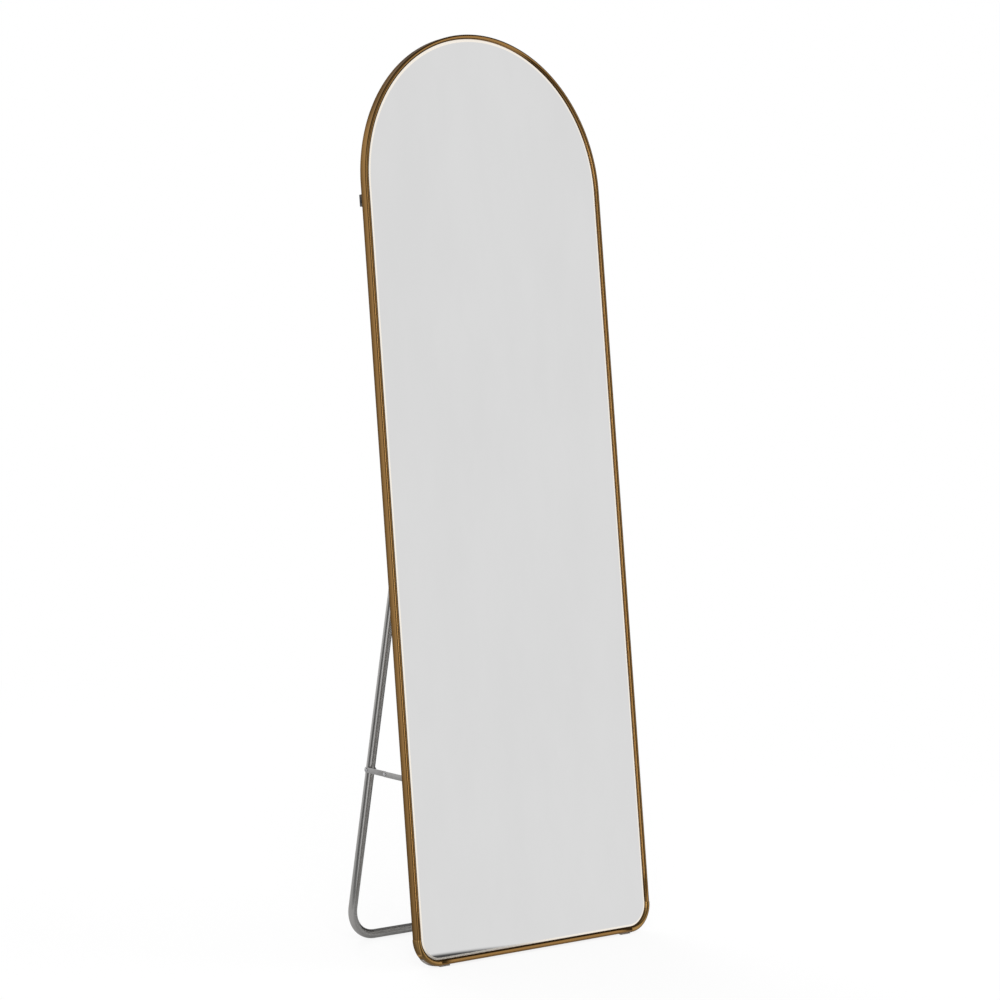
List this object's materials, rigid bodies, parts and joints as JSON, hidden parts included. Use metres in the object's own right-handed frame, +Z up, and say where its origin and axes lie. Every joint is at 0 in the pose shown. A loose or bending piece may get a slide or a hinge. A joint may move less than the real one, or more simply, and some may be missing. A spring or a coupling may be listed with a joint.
{
  "type": "floor mirror",
  "caption": "Arched full-length mirror in a slim metal frame, standing on a fold-out U-shaped tube stand with folding side braces.",
  "frame": {"origin": "on the floor, under the middle of the whole part with its stand open", "axes": "+Z up, the mirror faces -Y and tips back towards +Y, +X to the right seen from the front"},
  "size_m": [0.5592, 0.3168, 1.626],
  "materials": {
    "gold_frame": "anodised bronze gold, satin, fine lines along the bar",
    "gold_corner": "anodised bronze gold, satin",
    "silvered_glass": "silvered, polished bevel",
    "safety_film": "matt film",
    "soft_strip": "closed-cell foam",
    "back_board": "charcoal painted fibreboard",
    "grey_rubber": "matt",
    "steel_tube": "satin grey",
    "flat_steel": "satin grey",
    "black_bracket": "black powder coat",
    "black_screw": "black oxide",
    "zinc_screw": "zinc plated",
    "bright_fastener": "zinc plated, bright",
    "black_plastic": "moulded",
    "white_nylon": "turned nylon"
  },
  "bodies": {
    "mirror": {"frame_arch": "gold_frame", "frame_bottom_rail": "gold_frame", "corner_left": "gold_corner", "corner_right": "gold_corner", "corner_screws": "zinc_screw", "glazing_strip": "soft_strip", "mirror_glass": "silvered_glass", "safety_film": "safety_film", "back_board": "back_board", "foot_pad_left": "grey_rubber", "foot_pad_right": "grey_rubber", "hinge_bracket_left": "black_bracket", "hinge_bracket_right": "black_bracket", "hinge_bracket_screws": "zinc_screw", "hinge_bolts": "bright_fastener", "hinge_spacers": "white_nylon", "hinge_nuts": "bright_fastener", "brace_bracket_left": "flat_steel", "brace_bracket_right": "flat_steel", "brace_bracket_screws": "zinc_screw", "brace_frame_pin_left": "bright_fastener", "brace_frame_pin_right": "bright_fastener", "hanger_left": "black_bracket", "hanger_right": "black_bracket", "hanger_screws": "black_screw"},
    "stand": {"stand_tube": "steel_tube", "tube_plug_left": "black_plastic", "tube_plug_right": "black_plastic", "brace_leg_bolt_left": "bright_fastener", "brace_leg_bolt_right": "bright_fastener", "brace_leg_nuts": "bright_fastener"},
    "leg_bar_left": {"brace_leg_bar_left": "flat_steel", "brace_rivet_tail_left": "bright_fastener"},
    "frame_bar_left": {"brace_frame_bar_left": "flat_steel", "brace_rivet_left": "bright_fastener"},
    "leg_bar_right": {"brace_leg_bar_right": "flat_steel", "brace_rivet_tail_right": "bright_fastener"},
    "frame_bar_right": {"brace_frame_bar_right": "flat_steel", "brace_rivet_right": "bright_fastener"}
  },
  "joints": [
    {"name": "stand_fold", "type": "hinge", "parent": "mirror", "child": "stand", "pos_m": [0, -0.01517, 0.65916], "axis": [1, 0, 0], "range_deg": [-16.6, 0]},
    {"name": "leg_bar_turn_left", "type": "hinge", "parent": "stand", "child": "leg_bar_left", "pos_m": [-0.2715, 0.02509, 0.32155], "axis": [1, 0, 0], "range_deg": [-81.89, 0]},
    {"name": "frame_bar_turn_left", "type": "hinge", "parent": "mirror", "child": "frame_bar_left", "pos_m": [-0.2715, -0.08263, 0.32537], "axis": [1, 0, 0], "range_deg": [0, 71.36]},
    {"name": "leg_bar_turn_right", "type": "hinge", "parent": "stand", "child": "leg_bar_right", "pos_m": [0.2715, 0.02509, 0.32155], "axis": [1, 0, 0], "range_deg": [-81.89, 0]},
    {"name": "frame_bar_turn_right", "type": "hinge", "parent": "mirror", "child": "frame_bar_right", "pos_m": [0.2715, -0.08263, 0.32537], "axis": [1, 0, 0], "range_deg": [0, 71.36]}
  ],
  "couplings": [
    {"joint": "leg_bar_turn_left", "follows": "stand_fold", "ratio": 4.9321},
    {"joint": "frame_bar_turn_left", "follows": "stand_fold", "ratio": -4.2976},
    {"joint": "leg_bar_turn_right", "follows": "stand_fold", "ratio": 4.9321},
    {"joint": "frame_bar_turn_right", "follows": "stand_fold", "ratio": -4.2976}
  ]
}
